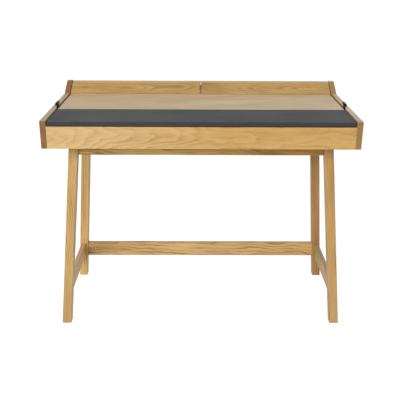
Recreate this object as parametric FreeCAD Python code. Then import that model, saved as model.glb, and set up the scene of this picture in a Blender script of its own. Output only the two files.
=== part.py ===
import FreeCAD, Part
import math
import os

from FreeCAD import Vector

# Writing desk: a shallow tray on a splayed leg frame. A dark lid at the front folds right back
# over the fixed top, and two sloped lids close the compartments along the rear.
# Millimetres, +Z up, the origin on the floor under the middle of the desk, the front towards -Y.
# Depths are measured back from the front edge of the side panels.

# Tray
desk_width = 1050.0
desk_depth = 524.0
tray_underside = 669.0
tray_height = 93.0
side_thickness = 20.0
front_thickness = 18.0
bottom_thickness = 12.0
partition_thickness = 16.0
partition_setback = 2.0
back_thickness = 16.0
back_setback = 0.5
arris = 1.0

# Gallery at the rear: its slope, its flat crest and how far the back panel stays below it
gallery_rise = 35.5
gallery_depth = 88.0
crest_flat = 21.0
back_drop = 2.0

# Fixed top, its cleats and the rail that stiffens its front edge
surface_drop = 2.0
top_thickness = 18.0
cleat_size = 20.0
rail_thickness = 20.0
rail_height = 34.0
rail_setback = 8.0

# Writing lid
lid_depth = 179.0
lid_thickness = 14.0
linoleum_thickness = 2.0
edging_depth = 7.0
seam_gap = 1.5
lid_rest_gap = 3.0
bumper_diameter = 8.0
bumper_clearance = 0.2
bumper_inset = 90.0

# Lid hinges: an ear let into each side panel, a pin, and an arm that is cranked from the lid's end
# into a notch beside the ear. The folded lid reaches over the rear lids and lies just above them
hinge_setback = 51.0
fold_clearance = 1.2
arm_thickness = 3.5
arm_running_gap = 1.0
arm_top_gap = 0.4
arm_height = 10.0
arm_reach = 62.0
arm_eye_radius = 4.5
arm_crank = 6.0
crank_lead = 7.0
crank_tail = 6.5
notch_depth = 20.0
notch_clearance = 1.0
ear_thickness = 7.0
ear_length = 41.0
ear_radius = 4.5
ear_seat_depth = 27.0
hinge_pin_diameter = 5.0

# Rear lids and their pivots
rear_lid_thickness = 16.0
rear_lid_drop = 2.0
rear_lid_front_gap = 1.5
rear_lid_end_gap = 3.0
rear_lid_back_gap = 0.6
rear_lid_rest_gap = 0.3
slit_width = 8.0
nib_width = 6.0
nib_reach = 7.0
nib_drop = 0.2
divider_thickness = 18.0
divider_clearance = 1.0
rest_depth = 16.0
rest_height = 24.0
rear_pin_diameter = 5.0
rear_pin_seat = 10.0
rear_pin_engagement = 12.0
open_lean = 12.0

# Leg frame: insets are from the tray's outline to the legs' outer and front faces
leg_section = 32.0
leg_round = 2.0
foot_side_inset = 19.2
head_side_inset = 76.0
foot_front_inset = 12.0
head_front_inset = 73.0
foot_spacing = 375.5
head_spacing = 270.0
glide_diameter = 22.0
glide_height = 2.0
apron_height = 46.0
apron_thickness = 18.0
stretcher_underside = 94.5
stretcher_height = 57.5
side_stretcher_thickness = 18.0
side_stretcher_setback = 4.8
back_stretcher_thickness = 20.0
back_stretcher_setback = 6.0
tenon_length = 13.0
tenon_thickness = 8.0
tenon_height = 16.0
tenon_shoulder = 5.0
stretcher_tenon_height = 34.0
block_size = 46.0
block_height = 22.0

# Fasteners and running clearances
dowel_diameter = 6.0
dowel_seat = 10.0
dowel_length = 30.0
dowel_inset = 18.0
frame_screw_length = 30.0
frame_screw_diameter = 5.0
hinge_screw_length = 16.0
hinge_screw_diameter = 3.0
hinge_screw_inset = 8.0
arm_screw_length = 19.0
arm_screw_diameter = 3.5
arm_screw_inset = 10.0
screw_head_ratio = 2.0
screw_head_rim = 0.5
fastener_sides = 10
pin_clearance = 0.05

# Levels
edge_level = tray_underside + tray_height
crest_level = edge_level + gallery_rise
surface_level = edge_level - surface_drop
top_underside = surface_level - top_thickness
lid_underside = surface_level - lid_thickness
front_level = lid_underside - lid_rest_gap
floor_level = tray_underside + bottom_thickness
back_level = crest_level - back_drop

# Half widths
half_width = desk_width / 2
inner_half = half_width - side_thickness
arm_outer = inner_half - arm_running_gap
lid_half = arm_outer - arm_thickness
top_half = lid_half - arm_top_gap
rear_lid_outer = inner_half - rear_lid_end_gap
rear_lid_inner = slit_width / 2

# Depths
gallery_foot = desk_depth - gallery_depth
gallery_crest = desk_depth - crest_flat
top_front = lid_depth + seam_gap
partition_back = gallery_foot - partition_setback
partition_front = partition_back - partition_thickness
back_front = desk_depth - back_setback - back_thickness
rail_front = top_front + rail_setback

slope = math.atan2(gallery_rise, gallery_crest - gallery_foot)

# Hinge pin of the writing lid: halfway up to what the folded lid's front edge comes to lie over,
# which is the fixed top, the slope of the rear lids or the back panel
hinge_depth = lid_depth + hinge_setback
fold_overlap = 2 * hinge_depth - gallery_foot
rear_lid_level = edge_level + fold_overlap * math.tan(slope) - rear_lid_drop / math.cos(slope)
landing_level = min(max(rear_lid_level, surface_level), back_level)
hinge_level = (surface_level + landing_level + fold_clearance) / 2

# Arm of the writing lid, and the notch that it lies in and swings out of
arm_middle = lid_underside + (lid_thickness - linoleum_thickness) / 2
arm_low = arm_middle - arm_height / 2
arm_high = arm_middle + arm_height / 2
arm_front = lid_depth - arm_reach
arm_back = hinge_depth + arm_eye_radius
crank_front = top_front + crank_lead
crank_back = hinge_depth - arm_eye_radius - crank_tail
arm_swing = math.hypot(hinge_depth - crank_front, hinge_level - arm_low)
notch_front = hinge_depth - arm_swing - notch_clearance
notch_back = hinge_depth + arm_eye_radius + notch_clearance
notch_outer = inner_half + arm_crank
notch_foot = edge_level - notch_depth
ear_outer = notch_outer + ear_thickness
ear_front = hinge_depth - ear_radius
ear_back = ear_front + ear_length
ear_foot = edge_level - ear_seat_depth
ear_top = hinge_level + ear_radius

# Pivot of the rear lids: in the middle of their thickness, just in front of the back panel
rear_lid_middle = rear_lid_drop + rear_lid_thickness / 2
pivot_depth = back_front - rear_lid_back_gap - rear_lid_thickness / 2
pivot_run = (pivot_depth - gallery_foot - rear_lid_middle * math.sin(slope)) / math.cos(slope)

X_AXIS = Vector(1, 0, 0)
Y_AXIS = Vector(0, 1, 0)
Z_AXIS = Vector(0, 0, 1)
parts = {}


def point(x, depth, z):
    """A point given by its depth behind the front edge."""
    return Vector(x, depth - desk_depth / 2, z)


def on_slope(run, below):
    """Depth and level of a point along the gallery slope, a distance below its edge."""
    depth = gallery_foot + run * math.cos(slope) + below * math.sin(slope)
    level = edge_level + run * math.sin(slope) - below * math.cos(slope)
    return depth, level


def slope_level(depth, below):
    """Level of the line that runs a distance below the slope's edge, at a depth."""
    return edge_level + (depth - gallery_foot) * math.tan(slope) - below / math.cos(slope)


def board(x0, x1, depth0, depth1, z0, z1):
    """Rectangular board between two widths, depths and levels."""
    return Part.makeBox(x1 - x0, depth1 - depth0, z1 - z0, point(x0, depth0, z0))


def polygon(corners):
    """Flat face with these corners."""
    return Part.Face(Part.makePolygon(corners + corners[:1]))


def profile(points, x0, x1):
    """Prism along X of a polygon of depths and levels."""
    return polygon([point(x0, depth, z) for depth, z in points]).extrude(X_AXIS * (x1 - x0))


def upright(plan, z0, z1):
    """Upright prism between two levels of a polygon of widths and depths."""
    return polygon([point(x, depth, z0) for x, depth in plan]).extrude(Z_AXIS * (z1 - z0))


def rod_x(diameter, x0, x1, depth, z):
    """Round rod along X."""
    return Part.makeCylinder(diameter / 2, x1 - x0, point(x0, depth, z), X_AXIS)


def leaning(z0, z1, outline):
    """Prism between two levels whose outline(z) keeps its shape and shifts with the level."""
    low = [point(x, depth, z0) for x, depth in outline(z0)]
    high = [point(x, depth, z1) for x, depth in outline(z1)]
    return polygon(low).extrude(high[0] - low[0])


def rectangle(x0, x1, depth0, depth1):
    """Corners of a rectangle in plan."""
    return [(x0, depth0), (x1, depth0), (x1, depth1), (x0, depth1)]


def eased(shape, direction=None):
    """Take the sharp arris off all edges, or off those along one direction."""
    edges = shape.Edges
    if direction is not None:
        edges = [e for e in edges if abs(e.tangentAt(e.FirstParameter).dot(direction)) > 0.9]
    return shape.makeChamfer(arris, edges)


def faceted_rod(diameter, length, start, direction):
    """Rod with flat facets, for the dowels and screws that repeat."""
    turn = FreeCAD.Rotation(Z_AXIS, direction)
    corners = []
    for i in range(fastener_sides):
        angle = 2 * math.pi * i / fastener_sides
        radial = Vector(math.cos(angle), math.sin(angle), 0)
        corners.append(start + turn.multVec(radial) * (diameter / 2))
    return polygon(corners).extrude(direction * length)


def countersunk_screw(diameter, length, head_at, direction):
    """Screw with a flush countersunk head."""
    taper = diameter * (screw_head_ratio - 1) / 2
    head_height = taper + screw_head_rim
    head = faceted_rod(diameter * screw_head_ratio, head_height, head_at, direction)
    middle = head_at + direction * (head_height / 2)
    under = [e for e in head.Edges if (e.CenterOfMass - middle).dot(direction) > taper / 2]
    shank = faceted_rod(diameter, length, head_at, direction)
    return head.makeChamfer(taper, under).fuse(shank).removeSplitter()


def mirrored(shape):
    """The same shape on the other side of the desk."""
    return shape.mirror(Vector(0, 0, 0), X_AXIS)


def add_pair(name, right_shape):
    """Keep a right-hand piece and its left-hand twin."""
    parts["right_" + name] = right_shape
    parts["left_" + name] = mirrored(right_shape)


def group(solids):
    """Separate solids that share one node."""
    return Part.makeCompound(solids)


def both_sides(solids):
    """A list of right-hand solids with their left-hand twins."""
    return solids + [mirrored(solid) for solid in solids]


# Dowels and screws come first, because the boards are bored for them
def side_dowels():
    """Dowels between the right side panel and the boards that butt against it."""
    back_middle = back_front + back_thickness / 2
    partition_middle = (partition_front + partition_back) / 2
    bottom_span = back_front - front_thickness
    places = [
        (front_thickness / 2, tray_underside + dowel_inset),
        (front_thickness / 2, front_level - dowel_inset),
        (partition_middle, floor_level + dowel_inset),
        (partition_middle, top_underside - dowel_inset),
        (back_middle, tray_underside + dowel_inset),
        (back_middle, edge_level - dowel_inset),
    ]
    for share in (0.2, 0.5, 0.8):
        places.append((front_thickness + bottom_span * share, tray_underside + bottom_thickness / 2))
    start = inner_half + dowel_seat - dowel_length
    return [faceted_rod(dowel_diameter, dowel_length, point(start, depth, z), X_AXIS) for depth, z in places]


def hinge_screws():
    """Screws that hold the right hinge ear, driven from the side panel's inner face."""
    level = edge_level - ear_seat_depth / 2
    screws = []
    for depth in (notch_back + hinge_screw_inset, ear_back - hinge_screw_inset):
        head_at = point(inner_half, depth, level)
        screws.append(countersunk_screw(hinge_screw_diameter, hinge_screw_length, head_at, X_AXIS))
    return screws


def arm_screws():
    """Screws through the right lid arm into the lid's end."""
    screws = []
    for depth in (arm_front + arm_screw_inset, lid_depth - arm_screw_inset):
        head_at = point(arm_outer, depth, arm_middle)
        screws.append(countersunk_screw(arm_screw_diameter, arm_screw_length, head_at, -X_AXIS))
    return screws


dowels = both_sides(side_dowels())
ear_screws = both_sides(hinge_screws())
lid_screws = both_sides(arm_screws())
parts["carcass_dowels"] = group(dowels)
parts["hinge_ear_screws"] = group(ear_screws)
parts["lid_arm_screws"] = group(lid_screws)


# Pivot pins
pivot_level = on_slope(pivot_run, rear_lid_middle)[1]
outer_pin = rod_x(rear_pin_diameter, rear_lid_outer - rear_pin_engagement, inner_half + rear_pin_seat,
                  pivot_depth, pivot_level)
centre_pin_reach = rear_lid_inner + rear_pin_engagement
centre_pin = rod_x(rear_pin_diameter, -centre_pin_reach, centre_pin_reach, pivot_depth, pivot_level)
hinge_pin = rod_x(hinge_pin_diameter, lid_half + arm_crank, ear_outer, hinge_depth, hinge_level)
parts["rear_pivot_pins"] = group(both_sides([outer_pin]) + [centre_pin])
add_pair("hinge_pin", hinge_pin)


# Hinge ear: a plate let into the side panel, whose rounded top stands above the panel's edge
ear_plate = board(notch_outer, ear_outer, ear_front, ear_back, ear_foot, ear_top)
ear_corners = [e for e in ear_plate.Edges if e.BoundBox.ZMin > hinge_level and e.BoundBox.YLength < arris]
ear_blank = ear_plate.makeFillet(ear_radius, ear_corners)
ear_edges = [e for e in ear_blank.Edges if e.BoundBox.ZMax > hinge_level + arris]
ear_rims = [e for e in ear_edges if e.BoundBox.XLength < arris]
ear_body = ear_blank.makeChamfer(arris, ear_rims)
add_pair("hinge_ear", ear_body.cut([hinge_pin] + hinge_screws()))


# Side panels
side_outline = [
    (0, tray_underside),
    (0, edge_level),
    (gallery_foot, edge_level),
    (gallery_crest, crest_level),
    (desk_depth, crest_level),
    (desk_depth, tray_underside),
]
side_blank = profile(side_outline, inner_half, half_width)
rim = [e for e in side_blank.Edges if abs(e.tangentAt(e.FirstParameter).dot(X_AXIS)) < 0.5]
side_panel = side_blank.makeChamfer(arris, rim)
notch_plan = [
    (inner_half, notch_front),
    (notch_outer, notch_front + crank_back - crank_front),
    (notch_outer, notch_back),
    (inner_half, notch_back),
]
hinge_notch = upright(notch_plan, notch_foot, crest_level)
side_panel = side_panel.cut(side_dowels() + hinge_screws() + [ear_blank, hinge_notch, outer_pin])
add_pair("side_panel", side_panel)


# Boards between the sides
front_panel = eased(board(-inner_half, inner_half, 0, front_thickness, tray_underside, front_level), X_AXIS)
parts["front_panel"] = front_panel.cut(dowels)

bottom_panel = board(-inner_half, inner_half, front_thickness, back_front, tray_underside, floor_level)

partition = board(-inner_half, inner_half, partition_front, partition_back, floor_level, top_underside)
parts["rear_partition"] = partition.cut(dowels)

lean_back = (back_level - pivot_level) * math.tan(math.radians(open_lean))
back_outline = [
    (back_front, tray_underside),
    (back_front, pivot_level),
    (back_front + lean_back, back_level),
    (desk_depth - back_setback, back_level),
    (desk_depth - back_setback, tray_underside),
]
back_panel = eased(profile(back_outline, -inner_half, inner_half), X_AXIS)
parts["back_panel"] = back_panel.cut(dowels)

fixed_top = eased(board(-top_half, top_half, top_front, gallery_foot, top_underside, surface_level))
parts["fixed_top"] = fixed_top
add_pair("top_cleat", board(inner_half - cleat_size, inner_half, rail_front, partition_front,
                            top_underside - cleat_size, top_underside))
rail_half = inner_half - cleat_size
parts["top_rail"] = board(-rail_half, rail_half, rail_front, rail_front + rail_thickness,
                          top_underside - rail_height, top_underside)


# Divider between the rear compartments, with a nib in the slit that carries the centre pin
divider_line = rear_lid_drop + rear_lid_thickness + divider_clearance
divider_outline = [
    (partition_back, floor_level),
    (partition_back, slope_level(partition_back, divider_line)),
    (back_front, slope_level(back_front, divider_line)),
    (back_front, floor_level),
]
nib_front = pivot_run - nib_reach
nib_crest = on_slope(pivot_run, rear_lid_drop + nib_drop)
nib_outline = [
    on_slope(nib_front, divider_line + nib_reach),
    on_slope(nib_front, rear_lid_drop + nib_drop),
    nib_crest,
    (back_front, nib_crest[1]),
    (back_front, slope_level(back_front, divider_line + nib_reach)),
]
divider = profile(divider_outline, -divider_thickness / 2, divider_thickness / 2)
nib = profile(nib_outline, -nib_width / 2, nib_width / 2)
parts["centre_divider"] = divider.fuse(nib).removeSplitter().cut(centre_pin)

# Rests under the lower edges of the rear lids
rest_line = rear_lid_drop + rear_lid_thickness + rear_lid_rest_gap
rest_back = partition_back + rest_depth
rest_foot = slope_level(partition_back, rest_line) - rest_height
rest_outline = [
    (partition_back, rest_foot),
    (partition_back, slope_level(partition_back, rest_line)),
    (rest_back, slope_level(rest_back, rest_line)),
    (rest_back, rest_foot),
]
add_pair("rear_lid_rest", profile(rest_outline, divider_thickness / 2, inner_half))


# Rear lid: a sloped board whose upper edge is rounded about its pivot
def rear_lid():
    """Right rear lid with its pivot holes."""
    bottom = rear_lid_drop + rear_lid_thickness
    half = rear_lid_thickness / 2
    at = rear_lid_inner
    front_top = point(at, *on_slope(rear_lid_front_gap, rear_lid_drop))
    round_top = point(at, *on_slope(pivot_run, rear_lid_drop))
    round_middle = point(at, *on_slope(pivot_run + half, rear_lid_middle))
    round_bottom = point(at, *on_slope(pivot_run, bottom))
    front_bottom = point(at, *on_slope(rear_lid_front_gap, bottom))
    outline = Part.Wire([
        Part.makeLine(front_top, round_top),
        Part.Arc(round_top, round_middle, round_bottom).toShape(),
        Part.makeLine(round_bottom, front_bottom),
        Part.makeLine(front_bottom, front_top),
    ])
    blank = Part.Face(outline).extrude(X_AXIS * (rear_lid_outer - rear_lid_inner))
    front_edges = [e for e in blank.Edges if e.BoundBox.YMax < round_top.y - half]
    blank = blank.makeChamfer(arris, front_edges)
    bore = rear_pin_diameter + 2 * pin_clearance
    depth = rear_pin_engagement + pin_clearance
    inner_hole = rod_x(bore, rear_lid_inner, rear_lid_inner + depth, pivot_depth, pivot_level)
    outer_hole = rod_x(bore, rear_lid_outer - depth, rear_lid_outer, pivot_depth, pivot_level)
    return blank.cut([inner_hole, outer_hole])


add_pair("rear_lid", rear_lid())


# Writing lid: an oak-faced core, a linoleum sheet and a dark front edging
core_top = surface_level - linoleum_thickness
lid_core = board(-lid_half, lid_half, edging_depth, lid_depth, lid_underside, core_top)
parts["lid_core"] = lid_core.cut(lid_screws)
parts["lid_linoleum"] = board(-lid_half, lid_half, edging_depth, lid_depth, core_top, surface_level)
edging = board(-lid_half, lid_half, 0, edging_depth, lid_underside, surface_level)
front_edges = [e for e in edging.Edges if e.BoundBox.YMax < point(0, edging_depth / 2, 0).y]
parts["lid_front_edging"] = edging.makeChamfer(arris, front_edges)


def lid_arm():
    """Right lid arm: flat along the lid's end, cranked out into the notch, with an eye on the pin."""
    rise = math.atan2(hinge_level - arm_middle, hinge_depth - crank_front)
    beside = arm_eye_radius * math.sin(rise)
    above = arm_eye_radius * math.cos(rise)
    outline = [
        (arm_front, arm_low),
        (crank_front, arm_low),
        (hinge_depth + beside, hinge_level - above),
        (hinge_depth - beside, hinge_level + above),
        (crank_front, arm_high),
        (arm_front, arm_high),
    ]
    inner = lid_half + arm_crank
    outer = arm_outer + arm_crank
    plan = [
        (lid_half, arm_front),
        (arm_outer, arm_front),
        (arm_outer, crank_front),
        (outer, crank_back),
        (outer, arm_back),
        (inner, arm_back),
        (inner, crank_back),
        (lid_half, crank_front),
    ]
    eye = rod_x(2 * arm_eye_radius, lid_half, outer, hinge_depth, hinge_level)
    blank = profile(outline, lid_half, outer).fuse(eye).removeSplitter()
    strip = upright(plan, arm_low, hinge_level + arm_eye_radius)
    bore = rod_x(hinge_pin_diameter + 2 * pin_clearance, inner, outer, hinge_depth, hinge_level)
    return blank.common(strip).cut([bore] + arm_screws())


add_pair("lid_arm", lid_arm())


def lid_bumper(x):
    """Felt button on the front panel that the closed lid comes down on."""
    height = lid_rest_gap - bumper_clearance
    return Part.makeCylinder(bumper_diameter / 2, height, point(x, front_thickness / 2, front_level), Z_AXIS)


bumper_x = inner_half - bumper_inset
parts["lid_bumpers"] = group([lid_bumper(-bumper_x), lid_bumper(0), lid_bumper(bumper_x)])


# Leg frame: every face follows the legs, which lean outwards and apart
def between(z, at_floor, at_tray):
    """Value at a level on a straight line from the floor to the tray."""
    return at_floor + (at_tray - at_floor) * z / tray_underside


def leg_outer(z):
    """Half width over the legs' outer faces."""
    return half_width - between(z, foot_side_inset, head_side_inset)


def leg_inner(z):
    """Half width between the legs' inner faces."""
    return leg_outer(z) - leg_section


def front_leg(z):
    """Depth of the front legs' front faces."""
    return between(z, foot_front_inset, head_front_inset)


def front_leg_back(z):
    """Depth of the front legs' rear faces."""
    return front_leg(z) + leg_section


def back_leg(z):
    """Depth of the back legs' front faces."""
    return between(z, foot_front_inset + foot_spacing, head_front_inset + head_spacing)


def leg(front_face):
    """Right leg whose front face follows front_face(z)."""
    def outline(z):
        return rectangle(leg_inner(z), leg_outer(z), front_face(z), front_face(z) + leg_section)
    blank = leaning(glide_height, tray_underside, outline)
    long_edges = [e for e in blank.Edges if e.BoundBox.ZLength > tray_underside / 2]
    return blank.makeFillet(leg_round, long_edges)


def cross_member(z0, z1, front_face, thickness, tenon_levels):
    """Member from leg to leg across the desk, with a tenon at each end."""
    low, high = tenon_levels
    ends = [(-leg_inner(z0), z0), (leg_inner(z0), z0), (leg_inner(z1), z1), (-leg_inner(z1), z1)]
    rail = polygon([point(x, front_face(z), z) for x, z in ends]).extrude(Y_AXIS * thickness)
    reach = leg_inner(high) + tenon_length
    middle = front_face((low + high) / 2) + thickness / 2
    tongue = board(-reach, reach, middle - tenon_thickness / 2, middle + tenon_thickness / 2, low, high)
    return eased(rail, X_AXIS).fuse(tongue).removeSplitter()


def side_member(z0, z1, inner_face, thickness, tenon_levels):
    """Right-hand member from the front leg to the back leg, with a tenon at each end."""
    low, high = tenon_levels
    ends = [(front_leg_back(z0), z0), (back_leg(z0), z0), (back_leg(z1), z1), (front_leg_back(z1), z1)]
    rail = polygon([point(inner_face(z), depth, z) for depth, z in ends]).extrude(X_AXIS * thickness)
    middle = inner_face((low + high) / 2) + thickness / 2
    tongue = board(middle - tenon_thickness / 2, middle + tenon_thickness / 2,
                   front_leg_back(high) - tenon_length, back_leg(high) + tenon_length, low, high)
    return eased(rail, Y_AXIS).fuse(tongue).removeSplitter()


def front_apron_face(z):
    """Depth of the front apron's front face, flush with the legs at the rear."""
    return front_leg_back(z) - apron_thickness


def back_stretcher_face(z):
    """Depth of the back stretcher's front face."""
    return back_leg(z) + back_stretcher_setback


def side_stretcher_face(z):
    """Half width at the side stretchers' inner faces."""
    return leg_outer(z) - side_stretcher_setback - side_stretcher_thickness


apron_underside = tray_underside - apron_height
cross_tenon_top = tray_underside - tenon_shoulder
cross_tenon = (cross_tenon_top - tenon_height, cross_tenon_top)
side_tenon_foot = apron_underside + tenon_shoulder
side_tenon = (side_tenon_foot, side_tenon_foot + tenon_height)
stretcher_top = stretcher_underside + stretcher_height
stretcher_middle = stretcher_underside + stretcher_height / 2
stretcher_tenon_foot = stretcher_middle - stretcher_tenon_height / 2
stretcher_tenon = (stretcher_tenon_foot, stretcher_tenon_foot + stretcher_tenon_height)

front_apron = cross_member(apron_underside, tray_underside, front_apron_face, apron_thickness, cross_tenon)
back_apron = cross_member(apron_underside, tray_underside, back_leg, apron_thickness, cross_tenon)
side_apron = side_member(apron_underside, tray_underside, leg_inner, apron_thickness, side_tenon)
back_stretcher = cross_member(stretcher_underside, stretcher_top, back_stretcher_face,
                              back_stretcher_thickness, stretcher_tenon)
side_stretcher = side_member(stretcher_underside, stretcher_top, side_stretcher_face,
                             side_stretcher_thickness, stretcher_tenon)

parts["front_apron"] = front_apron
parts["back_apron"] = back_apron
parts["back_stretcher"] = back_stretcher
add_pair("side_apron", side_apron)
add_pair("side_stretcher", side_stretcher)
add_pair("front_leg", leg(front_leg).cut([front_apron, side_apron, side_stretcher]))
add_pair("back_leg", leg(back_leg).cut([back_apron, side_apron, back_stretcher, side_stretcher]))


# Corner blocks, and the screws that hold the tray down on them
def corner_block(corner_depth, towards):
    """Right-hand triangular block in a corner of the apron frame, and its screw."""
    def outline(z):
        x = leg_inner(z)
        depth = corner_depth(z)
        return [(x, depth), (x - block_size, depth), (x, depth + towards * block_size)]
    z0 = tray_underside - block_height
    blank = leaning(z0, tray_underside, outline)
    inset = block_size / 3
    head_at = point(leg_inner(z0) - inset, corner_depth(z0) + towards * inset, z0)
    screw = countersunk_screw(frame_screw_diameter, frame_screw_length, head_at, Z_AXIS)
    return blank.cut(screw), screw


front_block, front_screw = corner_block(front_leg_back, 1)
back_block, back_screw = corner_block(back_leg, -1)
frame_screws = both_sides([front_screw, back_screw])
parts["corner_blocks"] = group(both_sides([front_block, back_block]))
parts["tray_screws"] = group(frame_screws)
parts["bottom_panel"] = bottom_panel.cut(dowels + frame_screws)


def foot_glide(front_face):
    """Round glide under the right leg."""
    x = (leg_inner(glide_height) + leg_outer(glide_height)) / 2
    depth = front_face(glide_height) + leg_section / 2
    return Part.makeCylinder(glide_diameter / 2, glide_height, point(x, depth, 0), Z_AXIS)


parts["foot_glides"] = group(both_sides([foot_glide(front_leg), foot_glide(back_leg)]))


os.makedirs("parts", exist_ok=True)
for name in sorted(parts):
    shape = parts[name]
    shape.exportStep("parts/" + name + ".step")
    print(name, len(shape.Solids), "solids", round(shape.Volume / 1000.0, 2), "cm3", shape.isValid())
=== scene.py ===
import logging
import math
from dataclasses import dataclass, field, replace
from enum import Enum
from typing import Mapping, Sequence, Union

import bmesh
import bpy
from mathutils import Matrix, Quaternion, Vector


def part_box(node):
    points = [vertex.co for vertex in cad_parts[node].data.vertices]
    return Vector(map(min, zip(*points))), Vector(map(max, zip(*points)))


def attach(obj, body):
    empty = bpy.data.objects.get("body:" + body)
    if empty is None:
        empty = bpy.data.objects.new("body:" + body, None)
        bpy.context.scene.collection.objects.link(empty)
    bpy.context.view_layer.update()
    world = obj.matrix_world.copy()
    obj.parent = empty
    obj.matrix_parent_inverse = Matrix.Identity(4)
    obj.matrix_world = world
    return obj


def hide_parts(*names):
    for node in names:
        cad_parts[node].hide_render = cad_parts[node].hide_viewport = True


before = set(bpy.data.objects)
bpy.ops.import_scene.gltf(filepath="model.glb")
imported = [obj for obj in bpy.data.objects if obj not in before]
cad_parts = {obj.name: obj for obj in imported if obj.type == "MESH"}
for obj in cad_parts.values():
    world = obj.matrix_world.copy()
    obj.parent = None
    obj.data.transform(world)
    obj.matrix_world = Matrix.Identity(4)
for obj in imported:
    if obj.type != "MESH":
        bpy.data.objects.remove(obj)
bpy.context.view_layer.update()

LOG = logging.getLogger("writing_desk")

Colour = tuple[float, float, float]
Cycles = tuple[float, float, float]
Place = tuple[float, float, float]
Pair = tuple[float, float]
Node = bpy.types.Node
Socket = bpy.types.NodeSocket
Material = bpy.types.Material
BMesh = bmesh.types.BMesh
Source = Union[Socket, float, Sequence[float]]

PLAIN: Colour = (1.0, 1.0, 1.0)
NOISE_MIDDLE = 0.5

# Kinds of socket that a node group has
COLOUR = "NodeSocketColor"
NUMBER = "NodeSocketFloat"
VECTOR = "NodeSocketVector"

# Places of the colour sockets on a Mix node
MIX_FIRST = 6
MIX_SECOND = 7
MIX_RESULT = 2


class Axis(Enum):
    """Directions of the desk, in the frame that its solids share."""

    WIDTH = (1.0, 0.0, 0.0)
    DEPTH = (0.0, 1.0, 0.0)
    HEIGHT = (0.0, 0.0, 1.0)


class Cut(Enum):
    """How a board was sawn: distance of the tree's heart below and beside the face, in metres."""

    CROWN = (0.03, 0.0)
    FLAT = (0.08, 0.0)
    RIFT = (0.09, 0.085)
    QUARTER = (0.04, 0.33)


class Detail(Enum):
    """How many finer layers a noise has."""

    LOW = 1.0
    MIDDLE = 2.0
    HIGH = 3.0


@dataclass
class Graph:
    """A short way to place and join the nodes of one shader tree."""

    tree: bpy.types.NodeTree

    def node(self, kind: str, **settings: object) -> Node:
        """Add a node.

        Args:
            kind: The node's type.
            settings: Properties to set on it.

        Returns:
            The new node.
        """
        made = self.tree.nodes.new(kind)
        for key, value in settings.items():
            setattr(made, key, value)
        return made

    def feed(self, socket: Socket, source: Source) -> None:
        """Link an output to a socket, or set the socket's own value.

        Args:
            socket: The input to feed.
            source: An output socket or a plain value.
        """
        if isinstance(source, Socket):
            self.tree.links.new(source, socket)
        else:
            socket.default_value = source

    def sum(self, kind: str, *terms: Source, clamp: bool = False) -> Socket:
        """Do one step of arithmetic.

        Args:
            kind: The operation of a Math node.
            terms: Its operands, in order.
            clamp: Whether the result stays from 0 to 1.

        Returns:
            The result's socket.
        """
        made = self.node("ShaderNodeMath", operation=kind, use_clamp=clamp)
        for socket, term in zip(made.inputs, terms):
            self.feed(socket, term)
        return made.outputs[0]

    def vector(self, kind: str, *terms: Source) -> Node:
        """Do one step of vector arithmetic.

        Args:
            kind: The operation of a Vector Math node.
            terms: Its operands, in order.

        Returns:
            The node, whose first output is a vector and whose second is a number.
        """
        made = self.node("ShaderNodeVectorMath", operation=kind)
        for socket, term in zip(made.inputs, terms):
            self.feed(socket, term)
        return made

    def noise(self, place: Source, cycles: Cycles, detail: Detail = Detail.MIDDLE) -> Socket:
        """Add a noise stretched differently along each axis.

        Args:
            place: The position to read the noise at.
            cycles: Cycles per metre along each axis.
            detail: How many finer layers it has.

        Returns:
            The noise's value, about 0 to 1.
        """
        made = self.node("ShaderNodeTexNoise", noise_dimensions="3D")
        self.feed(made.inputs["Vector"], self.vector("MULTIPLY", place, cycles).outputs[0])
        made.inputs["Scale"].default_value = 1.0
        made.inputs["Detail"].default_value = detail.value
        return made.outputs[0]

    def combine(self, x: Source, y: Source, z: Source = 0.0) -> Socket:
        """Put three numbers together as a vector.

        Args:
            x: The first number.
            y: The second number.
            z: The third number.

        Returns:
            The vector's socket.
        """
        made = self.node("ShaderNodeCombineXYZ")
        for socket, term in zip(made.inputs, (x, y, z)):
            self.feed(socket, term)
        return made.outputs[0]

    def mix(self, share: Source, first: Source, second: Source) -> Socket:
        """Mix two colours.

        Args:
            share: How much of the second shows.
            first: The colour at a share of 0.
            second: The colour at a share of 1.

        Returns:
            The mixed colour's socket.
        """
        made = self.node("ShaderNodeMix", data_type="RGBA")
        self.feed(made.inputs["Factor"], share)
        self.feed(made.inputs[MIX_FIRST], first)
        self.feed(made.inputs[MIX_SECOND], second)
        return made.outputs[MIX_RESULT]

    def multiply(self, colour: Source, tint: Source) -> Socket:
        """Multiply a colour by a tint.

        Args:
            colour: The colour.
            tint: What each of its channels is multiplied by.

        Returns:
            The tinted colour's socket.
        """
        made = self.node("ShaderNodeMix", data_type="RGBA", blend_type="MULTIPLY")
        made.inputs["Factor"].default_value = 1.0
        self.feed(made.inputs[MIX_FIRST], colour)
        self.feed(made.inputs[MIX_SECOND], tint)
        return made.outputs[MIX_RESULT]

    def ramp(self, value: Source, low: Source, high: Source) -> Socket:
        """Spread the range from low to high smoothly over 0 to 1.

        Args:
            value: The number to spread.
            low: What becomes 0.
            high: What becomes 1.

        Returns:
            The spread value's socket.
        """
        made = self.node("ShaderNodeMapRange", interpolation_type="SMOOTHSTEP")
        for socket, term in zip(made.inputs, (value, low, high, 0.0, 1.0)):
            self.feed(socket, term)
        return made.outputs[0]


def rgba(colour: Colour) -> tuple[float, float, float, float]:
    """Give a colour the fourth value that a colour socket takes."""
    return (*colour, 1.0)


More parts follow.
